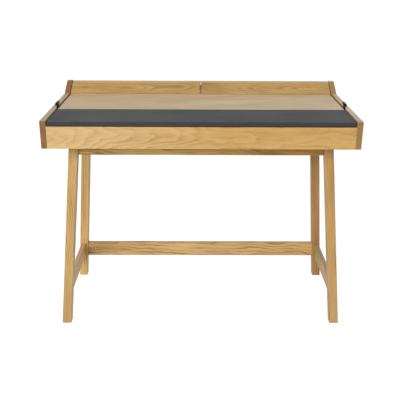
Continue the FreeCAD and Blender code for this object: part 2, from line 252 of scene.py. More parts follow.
class SharedEffect:
    """A shader node group that several finishes use."""

    name: str = ""
    inputs: tuple[tuple[str, str], ...] = ()
    outputs: tuple[tuple[str, str], ...] = ()

    def group(self) -> bpy.types.NodeTree:
        """Find the group, or make it the first time.

        Returns:
            The node group.
        """
        found = bpy.data.node_groups.get(self.name)
        if found:
            return found
        tree = bpy.data.node_groups.new(self.name, "ShaderNodeTree")
        for label, kind in self.inputs:
            tree.interface.new_socket(label, in_out="INPUT", socket_type=kind)
        for label, kind in self.outputs:
            tree.interface.new_socket(label, in_out="OUTPUT", socket_type=kind)
        graph = Graph(tree)
        entry = graph.node("NodeGroupInput")
        result = graph.node("NodeGroupOutput")
        for label, source in self.wire(graph, entry.outputs).items():
            graph.feed(result.inputs[label], source)
        return tree

    def wire(self, graph: Graph, given: Mapping[str, Socket]) -> dict[str, Socket]:
        """Lay out the group's nodes.

        Args:
            graph: The group's tree.
            given: The group's inputs by name.

        Returns:
            The socket that feeds each output.
        """
        raise NotImplementedError

    def place(self, graph: Graph, **values: Source) -> Node:
        """Put the group in a material.

        Args:
            graph: The material's tree.
            values: What feeds each input, with the input's name in small letters.

        Returns:
            The group node.
        """
        made = graph.node("ShaderNodeGroup", node_tree=self.group())
        for label, _ in self.inputs:
            key = label.lower().replace(" ", "_")
            if key in values:
                graph.feed(made.inputs[label], values[key])
        return made


class OakFigure(SharedEffect):
    """Growth rings of a sawn board, with its fibres and open pores, and a tint ramped along it that is
    painted light and shade on some boards.
    """

    name = "oak_figure"
    inputs = (
        ("Place", VECTOR),
        ("Seed", NUMBER),
        ("Heart Below", NUMBER),
        ("Heart Beside", NUMBER),
        ("Taper", NUMBER),
        ("Bow", NUMBER),
        ("Ring Width", NUMBER),
        ("Ring Edge", NUMBER),
        ("Wander", NUMBER),
        ("Cloud", NUMBER),
        ("Contrast", NUMBER),
        ("Light", COLOUR),
        ("Dark", COLOUR),
        ("Pore", COLOUR),
        ("Far Tint", COLOUR),
        ("Far Start", NUMBER),
        ("Far End", NUMBER),
    )
    outputs = (
        ("Colour", COLOUR),
        ("Sheen Loss", NUMBER),
        ("Relief", NUMBER),
    )

    # Cycles per metre of each noise: along the board, across it and into it
    drift_cycles: Cycles = (2.4, 7.0, 7.0)
    sway_cycles: Cycles = (8.0, 26.0, 26.0)
    fade_cycles: Cycles = (5.0, 30.0, 30.0)
    fibre_cycles: Cycles = (9.0, 420.0, 420.0)
    cloud_cycles: Cycles = (4.0, 14.0, 14.0)
    pore_cycles: Cycles = (75.0, 1700.0, 1700.0)

    # How far the heart drifts in metres, and the late wood's share of a ring with an edge of 1
    drift_reach: float = 0.04
    late_share: float = 0.45

    # Where in a ring its number changes, and the least and the varying strength of its band
    number_shift: float = 0.2
    ring_least: float = 0.4
    ring_more: float = 0.6

    # Noise levels over which rings fade in and pores open, with their least and varying strength
    fade_span: Pair = (0.3, 0.62)
    fade_least: float = 0.2
    fade_more: float = 0.8
    pore_span: Pair = (0.58, 0.7)
    pore_least: float = 0.2
    pore_more: float = 0.8

    # Weights in the colour, the gloss and the relief
    fibre_tone: float = 1.1
    cloud_middle: float = 0.42
    pore_tone: float = 0.55
    pore_sheen: float = 0.6
    fibre_relief: float = 0.35

    def wire(self, graph: Graph, given: Mapping[str, Socket]) -> dict[str, Socket]:
        """Lay out the rings as cuts through a tapered trunk, then fibres, pores and colour.

        Args:
            graph: The group's tree.
            given: The group's inputs by name.

        Returns:
            The socket that feeds each output.
        """
        place = given["Place"]
        parts = graph.node("ShaderNodeSeparateXYZ")
        graph.feed(parts.inputs[0], place)
        along, across, below = parts.outputs
        seed = given["Seed"]
        spot = graph.vector("ADD", place, graph.combine(seed, seed, seed)).outputs[0]
        drift = graph.sum("SUBTRACT", graph.noise(spot, self.drift_cycles), NOISE_MIDDLE)
        sway = graph.sum("SUBTRACT", graph.noise(spot, self.sway_cycles, Detail.HIGH), NOISE_MIDDLE)
        lean = graph.sum("MULTIPLY_ADD", along, given["Bow"], given["Taper"])
        rise = graph.sum("MULTIPLY_ADD", along, lean, given["Heart Below"])
        rise = graph.sum("MULTIPLY_ADD", drift, self.drift_reach, rise)
        rise = graph.sum("ADD", rise, below)
        side = graph.sum("ADD", across, given["Heart Beside"])
        radius = graph.vector("LENGTH", graph.combine(rise, side)).outputs["Value"]
        radius = graph.sum("MULTIPLY_ADD", sway, given["Wander"], radius)
        phase = graph.sum("DIVIDE", radius, given["Ring Width"])
        ring = graph.sum("FRACT", phase)
        early = graph.sum("POWER", graph.sum("SUBTRACT", 1.0, ring), given["Ring Edge"])
        late_width = graph.sum("DIVIDE", self.late_share, given["Ring Edge"])
        late = graph.ramp(ring, graph.sum("SUBTRACT", 1.0, late_width), 1.0)
        band = graph.sum("MAXIMUM", early, late)
        order = graph.sum("FLOOR", graph.sum("ADD", phase, self.number_shift))
        number = graph.node("ShaderNodeTexWhiteNoise", noise_dimensions="1D")
        graph.feed(number.inputs["W"], graph.sum("ADD", order, seed))
        strength = graph.sum("MULTIPLY_ADD", number.outputs[0], self.ring_more, self.ring_least)
        band = graph.sum("MULTIPLY", band, strength)
        fade = graph.ramp(graph.noise(spot, self.fade_cycles), *self.fade_span)
        shown = graph.sum("MULTIPLY_ADD", fade, self.fade_more, self.fade_least)
        band = graph.sum("MULTIPLY", band, shown)
        fibre = graph.noise(spot, self.fibre_cycles, Detail.HIGH)
        cloud = graph.noise(spot, self.cloud_cycles)
        pore = graph.ramp(graph.noise(spot, self.pore_cycles, Detail.LOW), *self.pore_span)
        open_share = graph.sum("MULTIPLY_ADD", band, self.pore_more, self.pore_least)
        pore = graph.sum("MULTIPLY", pore, open_share)
        streak = graph.sum("SUBTRACT", fibre, NOISE_MIDDLE)
        patch = graph.sum("SUBTRACT", cloud, self.cloud_middle)
        tone = graph.sum("MULTIPLY_ADD", streak, self.fibre_tone, band)
        tone = graph.sum("MULTIPLY_ADD", patch, given["Cloud"], tone)
        tone = graph.sum("MULTIPLY", tone, given["Contrast"], clamp=True)
        colour = graph.mix(tone, given["Light"], given["Dark"])
        colour = graph.mix(graph.sum("MULTIPLY", pore, self.pore_tone), colour, given["Pore"])
        # A tint ramped in along the board: on some boards painted shade and light, such as the front apron
        # darkening to the right.
        reach = graph.ramp(along, given["Far Start"], given["Far End"])
        far = graph.mix(reach, rgba(PLAIN), given["Far Tint"])
        ridge = graph.sum("MULTIPLY", fibre, self.fibre_relief)
        return {
            "Colour": graph.multiply(colour, far),
            "Sheen Loss": graph.sum("MULTIPLY_ADD", pore, self.pore_sheen, tone),
            "Relief": graph.sum("MULTIPLY_ADD", pore, -1.0, ridge),
        }


class Lipping(SharedEffect):
    """Other tones on the narrow sides of a board, for its solid-wood edging and on some finishes painted
    highlight and shade, with a painted sheen on narrow sides that face up and a painted shade on one face.
    """

    name = "board_lipping"
    inputs = (
        ("Colour", COLOUR),
        ("Normal", VECTOR),
        ("Face", VECTOR),
        ("Tint", COLOUR),
        ("Top Tint", COLOUR),
        ("Face Tint", COLOUR),
    )
    outputs = (("Colour", COLOUR),)

    # Cosines over which a surface turns into an edge, into the top and into the face
    edge_span: Pair = (0.8, 0.4)
    top_span: Pair = (0.92, 0.99)
    face_span: Pair = (0.4, 0.8)

    def wire(self, graph: Graph, given: Mapping[str, Socket]) -> dict[str, Socket]:
        """Multiply the colour by a painted shade on the board's face and by other tints on its edges and
        top, which carry painted sheen and highlight on some finishes.

        Args:
            graph: The group's tree.
            given: The group's inputs by name.

        Returns:
            The socket that feeds each output.
        """
        normal = given["Normal"]
        turned = graph.vector("DOT_PRODUCT", normal, given["Face"]).outputs["Value"]
        raised = graph.vector("DOT_PRODUCT", normal, Axis.HEIGHT.value).outputs["Value"]
        edge = graph.ramp(graph.sum("ABSOLUTE", turned), *self.edge_span)
        # Edges that face up take their own tint, a painted sheen on the side panels and side stretchers;
        # the chosen face takes a painted shade.
        top = graph.ramp(raised, *self.top_span)
        facing = graph.ramp(turned, *self.face_span)
        lipping = graph.mix(top, given["Tint"], given["Top Tint"])
        face = graph.mix(facing, rgba(PLAIN), given["Face Tint"])
        tint = graph.mix(edge, face, lipping)
        return {"Colour": graph.multiply(given["Colour"], tint)}


class Handling(SharedEffect):
    """Faint rubbed and dull patches that vary a surface's roughness."""

    name = "handling_marks"
    inputs = (("Place", VECTOR), ("Base", NUMBER), ("Spread", NUMBER))
    outputs = (("Roughness", NUMBER),)

    patch_cycles: Cycles = (6.0, 6.0, 6.0)
    grit_cycles: Cycles = (300.0, 300.0, 300.0)
    grit_weight: float = 0.5
    middle: float = 0.75

    def wire(self, graph: Graph, given: Mapping[str, Socket]) -> dict[str, Socket]:
        """Add wide soft patches and fine grit to a base roughness.

        Args:
            graph: The group's tree.
            given: The group's inputs by name.

        Returns:
            The socket that feeds each output.
        """
        place = given["Place"]
        patch = graph.sum("SUBTRACT", graph.noise(place, self.patch_cycles), self.middle)
        grit = graph.noise(place, self.grit_cycles, Detail.LOW)
        both = graph.sum("MULTIPLY_ADD", grit, self.grit_weight, patch)
        rough = graph.sum("MULTIPLY_ADD", both, given["Spread"], given["Base"])
        return {"Roughness": rough}


OAK_FIGURE = OakFigure()
LIPPING = Lipping()
HANDLING = Handling()


def new_material(name: str) -> tuple[Material, Graph, Node]:
    """Start a material with one Principled shader.

    Args:
        name: The material's name.

    Returns:
        The material, its tree and its shader.
    """
    material = bpy.data.materials.new(name)
    material.use_nodes = True
    graph = Graph(material.node_tree)
    return material, graph, material.node_tree.nodes["Principled BSDF"]


def add_bump(graph: Graph, shader: Node, height: Source, strength: float, depth: float) -> None:
    """Feed a relief to a shader's normal.

    Args:
        graph: The material's tree.
        shader: The Principled shader.
        height: The relief, about 0 to 1.
        strength: How much of it shows.
        depth: The relief's full depth in metres.
    """
    bump = graph.node("ShaderNodeBump")
    bump.inputs["Strength"].default_value = strength
    bump.inputs["Distance"].default_value = depth
    graph.feed(bump.inputs["Height"], height)
    graph.feed(shader.inputs["Normal"], bump.outputs[0])


@dataclass(frozen=True)
class WoodFinish:
    """Lacquered wood in one tone, with lengths in metres and tints that multiply the colour."""

    light: Colour
    dark: Colour
    pore: Colour
    wander: float
    contrast: float
    ring_width: float
    roughness: float
    specular: float
    # Edge tint: solid-wood edging, with a painted highlight on the top's arrises and painted shade on the
    # rear lids' edges. The tint for upward edges adds a painted sheen, and the face tint a painted shade.
    edge_tint: Colour = PLAIN
    top_tint: Colour = PLAIN
    face_tint: Colour = PLAIN
    ring_edge: float = 1.6
    cloud: float = 1.3
    handling: float = 0.14
    dulling: float = 0.1
    relief: float = 0.35
    relief_depth: float = 0.0003

    def material(self, name: str, board: "Board") -> Material:
        """Make the finish for one board, with the grain along it.

        Args:
            name: The material's name.
            board: The board that gets it.

        Returns:
            The material.
        """
        material, graph, shader = new_material(name)
        where = graph.node("ShaderNodeTexCoord")
        turn = graph.node("ShaderNodeMapping")
        turn.inputs["Location"].default_value = board.location()
        turn.inputs["Rotation"].default_value = board.rotation().to_matrix().to_euler()
        spot = where.outputs["Object"]
        graph.feed(turn.inputs["Vector"], spot)
        below, beside = board.cut.value
        figure = OAK_FIGURE.place(
            graph,
            place=turn.outputs[0],
            seed=board.seed,
            heart_below=below,
            heart_beside=beside,
            taper=board.taper,
            bow=board.bow,
            ring_width=self.ring_width,
            ring_edge=self.ring_edge,
            wander=self.wander,
            cloud=self.cloud,
            contrast=self.contrast,
            light=rgba(board.toned(self.light)),
            dark=rgba(board.toned(self.dark)),
            pore=rgba(board.toned(self.pore)),
            far_tint=rgba(board.far_tint),
            far_start=board.far_span[0],
            far_end=board.far_span[1],
        )
        lipped = LIPPING.place(
            graph,
            colour=figure.outputs["Colour"],
            normal=where.outputs["Normal"],
            face=board.face(),
            tint=rgba(self.edge_tint),
            top_tint=rgba(self.top_tint),
            face_tint=rgba(self.face_tint),
        )
        marks = HANDLING.place(graph, place=spot, base=self.roughness, spread=self.handling)
        loss = figure.outputs["Sheen Loss"]
        rough = graph.sum("MULTIPLY_ADD", loss, self.dulling, marks.outputs[0], clamp=True)
        graph.feed(shader.inputs["Base Color"], lipped.outputs[0])
        graph.feed(shader.inputs["Roughness"], rough)
        shader.inputs["Specular IOR Level"].default_value = self.specular
        add_bump(graph, shader, figure.outputs["Relief"], self.relief, self.relief_depth)
        return material


@dataclass(frozen=True)
class Board:
    """How the grain lies in one wooden piece."""

    node: str
    finish: WoodFinish
    along: Vector
    across: Vector
    cut: Cut = Cut.RIFT
    taper: float = 0.03
    seed: float = 0.0
    tint: Colour = PLAIN
    far_tint: Colour = PLAIN
    far_span: Pair = (-0.38, 0.12)
    bow: float = 0.0

    def toned(self, colour: Colour) -> Colour:
        """Give a colour this board's tint, which is its timber's tone and on some boards also painted
        light and shade.
        """
        return tuple(channel * tint for channel, tint in zip(colour, self.tint))

    def face(self) -> Vector:
        """Give the direction that the board's wide face looks in."""
        return self.along.cross(self.across).normalized()

    def rotation(self) -> Quaternion:
        """Find the turn from the desk's axes to the board's own.

        Returns:
            The turn.
        """
        along = self.along.normalized()
        face = self.face()
        return Matrix((along, face.cross(along), face)).to_quaternion()

    def location(self) -> Vector:
        """Give the shift that puts the grain's middle in the middle of the board."""
        low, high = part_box(self.node)
        return -(self.rotation() @ ((low + high) / 2))

    def dress(self) -> None:
        """Put the finish on the board's solid."""
        put_on(self.node, self.finish.material(self.node + "_wood", self))


def put_on(node: str, material: Material) -> None:
    """Give one of the desk's solids its finish.

    Args:
        node: The solid's name.
        material: The finish.
    """
    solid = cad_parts[node]
    solid.data.materials.clear()
    solid.data.materials.append(material)
    LOG.info("%s: %s", node, material.name)


@dataclass(frozen=True)
class LinoleumFinish:
    """Dark furniture linoleum, finely flecked."""

    base: Colour = (0.0193, 0.0186, 0.0217)
    fleck: Colour = (0.0385, 0.0363, 0.0405)
    roughness: float = 0.58
    specular: float = 0.26
    cloud_cycles: Cycles = (14.0, 30.0, 30.0)
    grain_cycles: Cycles = (520.0, 760.0, 760.0)
    noise_share: float = 0.5
    handling: float = 0.18
    relief: float = 0.25
    relief_depth: float = 0.0002

    def material(self, name: str) -> Material:
        """Make the finish.

        Args:
            name: The material's name.

        Returns:
            The material.
        """
        material, graph, shader = new_material(name)
        place = graph.node("ShaderNodeTexCoord").outputs["Object"]
        cloud = graph.noise(place, self.cloud_cycles)
        grain = graph.noise(place, self.grain_cycles)
        fine = graph.sum("MULTIPLY", grain, self.noise_share)
        tone = graph.sum("MULTIPLY_ADD", cloud, self.noise_share, fine, clamp=True)
        graph.feed(shader.inputs["Base Color"], graph.mix(tone, rgba(self.base), rgba(self.fleck)))
        marks = HANDLING.place(graph, place=place, base=self.roughness, spread=self.handling)
        graph.feed(shader.inputs["Roughness"], marks.outputs[0])
        shader.inputs["Specular IOR Level"].default_value = self.specular
        add_bump(graph, shader, grain, self.relief, self.relief_depth)
        return material


@dataclass(frozen=True)
class SteelFinish:
    """Steel, powder-coated or bright."""

    base: Colour
    metallic: float
    specular: float
    roughness: float
    peel_cycles: float
    wear: float = 1.35
    handling: float = 0.16
    relief: float = 0.2
    relief_depth: float = 0.0001

    def material(self, name: str) -> Material:
        """Make the finish.

        Args:
            name: The material's name.

        Returns:
            The material.
        """
        material, graph, shader = new_material(name)
        place = graph.node("ShaderNodeTexCoord").outputs["Object"]
        peel = graph.noise(place, (self.peel_cycles,) * 3)
        worn = tuple(self.wear * channel for channel in self.base)
        graph.feed(shader.inputs["Base Color"], graph.mix(peel, rgba(self.base), rgba(worn)))
        marks = HANDLING.place(graph, place=place, base=self.roughness, spread=self.handling)
        graph.feed(shader.inputs["Roughness"], marks.outputs[0])
        shader.inputs["Metallic"].default_value = self.metallic
        shader.inputs["Specular IOR Level"].default_value = self.specular
        add_bump(graph, shader, peel, self.relief, self.relief_depth)
        return material


@dataclass(frozen=True)
class FeltFinish:
    """Pressed felt with a short nap."""

    base: Colour = (0.03, 0.028, 0.026)
    nap: Colour = (0.075, 0.07, 0.064)
    hair_cycles: Cycles = (2600.0, 2600.0, 2600.0)
    roughness: float = 0.95
    sheen: float = 0.4
    relief: float = 0.7
    relief_depth: float = 0.0004

    def material(self, name: str) -> Material:
        """Make the finish.

        Args:
            name: The material's name.

        Returns:
            The material.
        """
        material, graph, shader = new_material(name)
        place = graph.node("ShaderNodeTexCoord").outputs["Object"]
        hair = graph.noise(place, self.hair_cycles, Detail.HIGH)
        graph.feed(shader.inputs["Base Color"], graph.mix(hair, rgba(self.base), rgba(self.nap)))
        shader.inputs["Roughness"].default_value = self.roughness
        shader.inputs["Sheen Weight"].default_value = self.sheen
        add_bump(graph, shader, hair, self.relief, self.relief_depth)
        return material


@dataclass(frozen=True)
class NylonFinish:
    """Moulded nylon, slightly scuffed."""

    base: Colour = (0.06, 0.05, 0.042)
    scuff: Colour = (0.11, 0.095, 0.08)
    scuff_cycles: Cycles = (420.0, 420.0, 420.0)
    scuff_span: Pair = (0.45, 0.75)
    roughness: float = 0.5
    handling: float = 0.2
    relief: float = 0.2
    relief_depth: float = 0.0001

    def material(self, name: str) -> Material:
        """Make the finish.

        Args:
            name: The material's name.

        Returns:
            The material.
        """
        material, graph, shader = new_material(name)
        place = graph.node("ShaderNodeTexCoord").outputs["Object"]
        worn = graph.ramp(graph.noise(place, self.scuff_cycles, Detail.HIGH), *self.scuff_span)
        graph.feed(shader.inputs["Base Color"], graph.mix(worn, rgba(self.base), rgba(self.scuff)))
        marks = HANDLING.place(graph, place=place, base=self.roughness, spread=self.handling)
        graph.feed(shader.inputs["Roughness"], marks.outputs[0])
        add_bump(graph, shader, worn, self.relief, self.relief_depth)
        return material


OAK_PANEL = WoodFinish(
    light=(0.715, 0.482, 0.22), dark=(0.46, 0.258, 0.084), pore=(0.26, 0.128, 0.038),
    edge_tint=(0.8, 0.78, 0.75), top_tint=(0.8, 0.78, 0.75), wander=0.02, contrast=0.71,
    ring_width=0.0062, roughness=0.46, specular=0.45, ring_edge=2.0, cloud=1.0,
)
OAK_SIDE = WoodFinish(
    light=(0.64, 0.425, 0.195), dark=(0.44, 0.26, 0.098), pore=(0.24, 0.125, 0.045),
    wander=0.012, contrast=0.85, ring_width=0.006, roughness=0.46, specular=0.45,
)
# The lighter edge tint is a painted highlight along the arrises of the fixed top and the lid core.
OAK_TOP = WoodFinish(
    light=(0.675, 0.504, 0.3), dark=(0.43, 0.295, 0.162), pore=(0.24, 0.138, 0.062),
    edge_tint=(1.1, 1.1, 1.12), wander=0.012, contrast=0.8,
    ring_width=0.007, roughness=0.44, specular=0.5,
)
# The darker, warmer edge tint is painted shade on the lids' narrow edges: their ends down the centre slit
# and their top edge.
OAK_REAR = WoodFinish(
    light=(0.65, 0.408, 0.148), dark=(0.35, 0.188, 0.052), pore=(0.21, 0.11, 0.034),
    edge_tint=(0.84, 0.84, 0.64), wander=0.016, contrast=0.85,
    ring_width=0.0055, roughness=0.52, specular=0.35, ring_edge=2.2,
)
OAK_SOLID = WoodFinish(
    light=(0.68, 0.44, 0.172), dark=(0.35, 0.192, 0.058), pore=(0.21, 0.11, 0.034),
    wander=0.01, contrast=0.88, ring_width=0.006, roughness=0.48, specular=0.4, ring_edge=2.0,
)
OAK_RAIL = WoodFinish(
    light=(0.7, 0.45, 0.178), dark=(0.26, 0.132, 0.038), pore=(0.17, 0.085, 0.025),
    wander=0.012, contrast=1.25, ring_width=0.005, roughness=0.5, specular=0.4,
)
OAK_INSIDE = WoodFinish(
    light=(0.68, 0.47, 0.24), dark=(0.5, 0.315, 0.135), pore=(0.28, 0.155, 0.06),
    edge_tint=(0.92, 0.89, 0.85), wander=0.014, contrast=0.7,
    ring_width=0.0065, roughness=0.56, specular=0.35,
)
OAK_STRETCHER = replace(OAK_RAIL, wander=0.026, contrast=1.6, ring_width=0.0105, ring_edge=4.0, cloud=0.9)
# Side panels: the edge tint is the darker solid-wood edging, deeper on the left side as painted shade; the
# pale bluish tint on the top edges is a painted sheen, and the face tint a painted shade on the inner
# faces.
LEFT_SIDE = replace(
    OAK_SIDE, edge_tint=(0.47, 0.355, 0.25), top_tint=(0.8, 0.94, 1.45), face_tint=(0.66, 0.74, 0.92),
)
RIGHT_SIDE = replace(
    OAK_SIDE, edge_tint=(0.62, 0.505, 0.37), top_tint=(0.94, 1.13, 1.65), face_tint=(0.6, 0.66, 0.86),
)
# The bluish lighter tint on the side stretchers' tops is a painted sheen of light from above.
SIDE_RAIL = replace(OAK_SOLID, top_tint=(0.95, 1.05, 1.4))
PALE_NIB = replace(
    OAK_INSIDE, light=(0.9, 0.72, 0.44), dark=(0.78, 0.58, 0.31), edge_tint=PLAIN,
)
BEECH = WoodFinish(
    light=(0.62, 0.43, 0.27), dark=(0.52, 0.33, 0.19), pore=(0.4, 0.24, 0.13),
    edge_tint=(0.9, 0.86, 0.82), top_tint=(0.9, 0.86, 0.82), wander=0.006, contrast=0.4,
    ring_width=0.004, roughness=0.6, specular=0.3,
)
LINOLEUM = LinoleumFinish()
LINOLEUM_EDGE = LinoleumFinish(base=(0.033, 0.033, 0.037), fleck=(0.062, 0.061, 0.066))
BLACK_STEEL = SteelFinish(
    base=(0.005, 0.0045, 0.0045), metallic=0.0, specular=0.12, roughness=0.26, peel_cycles=900.0,
)
ARM_STEEL = replace(BLACK_STEEL, specular=0.04, roughness=0.5)
BRIGHT_STEEL = SteelFinish(
    base=(0.5, 0.49, 0.47), metallic=1.0, specular=0.5, roughness=0.3, peel_cycles=1400.0,
)
FELT = FeltFinish()
NYLON = NylonFinish()

WIDTH = Vector(Axis.WIDTH.value)
DEPTH = Vector(Axis.DEPTH.value)
HEIGHT = Vector(Axis.HEIGHT.value)
SIDES = ("left", "right")


def ring_of(mesh: BMesh, middle: Vector, radius: float, sides: int) -> list[bmesh.types.BMVert]:
    """Add a level ring of vertices.

    Args:
        mesh: The mesh that takes it.
        middle: The ring's middle.
        radius: Its radius in metres.
        sides: How many vertices it has.

    Returns:
        The vertices, in order.
    """
    ring = []
    for i in range(sides):
        angle = 2 * math.pi * i / sides
        spoke = Vector((radius * math.cos(angle), radius * math.sin(angle), 0.0))
        ring.append(mesh.verts.new(middle + spoke))
    return ring


def piece_from(mesh: BMesh, name: str, material: Material) -> bpy.types.Object:
    """Turn a mesh under construction into a piece of the scene.

    Args:
        mesh: The mesh, which is freed.
        name: The piece's name.
        material: Its finish.

    Returns:
        The new piece.
    """
    data = bpy.data.meshes.new(name)
    mesh.to_mesh(data)
    mesh.free()
    data.materials.append(material)
    piece = bpy.data.objects.new(name, data)
    bpy.context.scene.collection.objects.link(piece)
    return piece


def lathe(mesh: BMesh, foot: Vector, outline: Sequence[Pair], sides: int) -> None:
    """Add a closed round body turned about an upright axis.

    Args:
        mesh: The mesh that takes it.
        foot: The middle of its underside.
        outline: Radius and height from the rim of the underside to the rim of the top.
        sides: Facets round it.
    """
    rings = [ring_of(mesh, foot + height * HEIGHT, radius, sides) for radius, height in outline]
    for lower, upper in zip(rings, rings[1:]):
        for i in range(sides):
            mesh.faces.new((lower[i - 1], lower[i], upper[i], upper[i - 1])).smooth = True
    mesh.faces.new(list(reversed(rings[0])))
    mesh.faces.new(rings[-1])


@dataclass
class ScrewSet:
    """Four countersunk screws that stand at the corners of a box, with cross recesses."""

    node: str
    body: str
    slot: str
    finish: SteelFinish
    diameter: float
    length: float
    drive: Vector
    head_ratio: float = 2.0
    rim: float = 0.0005
    # Width and reach of the recess as shares of the head's radius, and how far its sole narrows
    recess_width: float = 0.16
    recess_reach: float = 0.6
    recess_taper: float = 0.7
    recess_depth: float = 0.0011
    sides: int = 28

    def heads(self) -> list[Vector]:
        """Find the middles of the head faces.

        Returns:
            One point for each screw.
        """
        low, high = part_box(self.node)
        reach = self.diameter * self.head_ratio / 2
        sideways = abs(self.drive.x) > abs(self.drive.z)
        spots = []
        for x_sign in (-1, 1):
            for y in (low.y + reach, high.y - reach):
                if sideways:
                    tip = high.x if self.drive.x < 0 else high.x - self.length
                    spots.append(Vector((x_sign * tip, y, (low.z + high.z) / 2)))
                else:
                    spots.append(Vector((x_sign * (high.x - reach), y, low.z)))
        return spots

    def add_screw(self, mesh: BMesh, spot: Vector) -> None:
        """Add one screw to a mesh.

        Args:
            mesh: The mesh that takes it.
            spot: The middle of its head face.
        """
        drive = self.drive.copy()
        if spot.x < 0:
            drive.x = -drive.x
        turn = drive.to_track_quat("Z", "Y").to_matrix().to_4x4()
        start = len(mesh.verts)
        reach = self.diameter * self.head_ratio / 2
        shank = self.diameter / 2
        cone = self.rim + reach - shank
        outline = ((reach, 0.0), (reach, self.rim), (shank, cone), (shank, self.length))
        rings = [ring_of(mesh, depth * HEIGHT, radius, self.sides) for radius, depth in outline]
        for upper, lower in zip(rings, rings[1:]):
            for i in range(self.sides):
                mesh.faces.new((upper[i - 1], upper[i], lower[i], lower[i - 1]))
        mesh.faces.new(rings[-1])
        wide = reach * self.recess_width
        long = reach * self.recess_reach
        cross = [
            (wide, wide), (long, wide), (long, -wide), (wide, -wide), (wide, -long), (-wide, -long),
            (-wide, -wide), (-long, -wide), (-long, wide), (-wide, wide), (-wide, long), (wide, long),
        ]
        taper = self.recess_taper
        lip = [mesh.verts.new((x, y, 0.0)) for x, y in cross]
        sole = [mesh.verts.new((x * taper, y * taper, self.recess_depth)) for x, y in cross]
        edges = []
        for loop in (rings[0], lip):
            for i in range(len(loop)):
                found = mesh.edges.get((loop[i - 1], loop[i]))
                edges.append(found or mesh.edges.new((loop[i - 1], loop[i])))
        bmesh.ops.triangle_fill(mesh, edges=edges, use_beauty=True)
        for i in range(len(lip)):
            mesh.faces.new((lip[i - 1], lip[i], sole[i], sole[i - 1]))
        mesh.faces.new(sole)
        mesh.verts.ensure_lookup_table()
        bmesh.ops.transform(mesh, matrix=Matrix.Translation(spot) @ turn, verts=mesh.verts[start:])

    def build(self) -> None:
        """Make the screws, in place of their plain solids."""
        mesh = bmesh.new()
        for spot in self.heads():
            self.add_screw(mesh, spot)
        bmesh.ops.recalc_face_normals(mesh, faces=mesh.faces)
        piece = piece_from(mesh, self.node + "_turned", self.finish.material(self.node + "_steel"))
        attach(piece, self.body)
        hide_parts(self.node)
        LOG.info("%s: cross-recessed heads", piece.name)


@dataclass
class Tray:
    """The shallow box that carries the top, with its fixed boards and felt buttons."""

    button_radius: float = 0.004
    button_spread: float = 0.415
    button_sides: int = 24
    # Shares of a button's radius and height, from its foot up
    button_outline: tuple[Pair, ...] = ((1.0, 0.0), (1.0, 0.55), (0.93, 0.85), (0.8, 1.0))
    side_seeds: Pair = (41.0, 46.0)
    cleat_seeds: Pair = (52.0, 57.0)
    rest_seeds: Pair = (63.0, 68.0)
    gallery_tints: tuple[Colour, Colour] = ((0.9, 0.86, 0.76), (1.13, 1.16, 1.13))
    gallery_span: Pair = (0.1, 0.19)

    def boards(self) -> list[Board]:
        """List the tray's boards and their grain.

        Returns:
            One entry for each board.
        """
        found = [
            Board(
                "front_panel", OAK_PANEL, WIDTH, HEIGHT, Cut.FLAT, taper=0.06, bow=-0.08, seed=61.4,
                tint=(1.075, 1.1, 1.08), far_tint=(0.925, 0.82, 0.62), far_span=(-0.4, 0.18),
            ),
            Board("back_panel", OAK_PANEL, WIDTH, HEIGHT, Cut.CROWN, taper=-0.045, seed=8.4),
            Board("bottom_panel", OAK_INSIDE, WIDTH, DEPTH, seed=12.7),
            Board("rear_partition", OAK_INSIDE, WIDTH, HEIGHT, seed=17.9),
            Board("centre_divider", PALE_NIB, DEPTH, HEIGHT, seed=21.3),
            Board(
                "fixed_top", OAK_TOP, WIDTH, DEPTH, Cut.QUARTER, taper=0.02, seed=26.2,
                tint=(0.99, 0.965, 0.92), far_tint=(1.03, 1.05, 1.09), far_span=(-0.4, 0.1),
            ),
            Board("top_rail", OAK_INSIDE, WIDTH, HEIGHT, seed=31.8),
            Board("carcass_dowels", BEECH, WIDTH, HEIGHT, seed=34.4),
        ]
        finishes = (LEFT_SIDE, RIGHT_SIDE)
        # These turn the face that takes the painted shade inward, onto the panels' inner faces
        upward = (HEIGHT, -HEIGHT)
        for i, side in enumerate(SIDES):
            found += [
                Board(
                    side + "_side_panel", finishes[i], DEPTH, upward[i], Cut.CROWN, taper=0.06,
                    seed=self.side_seeds[i], far_tint=self.gallery_tints[i], far_span=self.gallery_span,
                ),
                Board(side + "_top_cleat", OAK_INSIDE, DEPTH, HEIGHT, seed=self.cleat_seeds[i]),
                Board(side + "_rear_lid_rest", OAK_INSIDE, WIDTH, HEIGHT, seed=self.rest_seeds[i]),
            ]
        return found

    def build_buttons(self) -> None:
        """Make the felt buttons that the closed lid comes down on."""
        low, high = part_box("lid_bumpers")
        height = high.z - low.z
        middle = (low.y + high.y) / 2
        mesh = bmesh.new()
        outline = [(self.button_radius * wide, height * tall) for wide, tall in self.button_outline]
        for x in (-self.button_spread, 0.0, self.button_spread):
            lathe(mesh, Vector((x, middle, low.z)), outline, self.button_sides)
        piece = piece_from(mesh, "felt_buttons", FELT.material("button_felt"))
        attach(piece, "desk")
        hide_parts("lid_bumpers")
        LOG.info("felt_buttons: on the front panel")

    def dress(self) -> None:
        """Finish the tray's boards and add its small pieces."""
        for board in self.boards():
            board.dress()
        self.build_buttons()


@dataclass(frozen=True)
class LegTimber:
    """The stick that one leg is made of, with its tint at the foot and at the head, which is partly the
    timber's own tone and partly painted light and shade.
    """

    tint: Colour
    far_tint: Colour
    taper: float
    seed: float


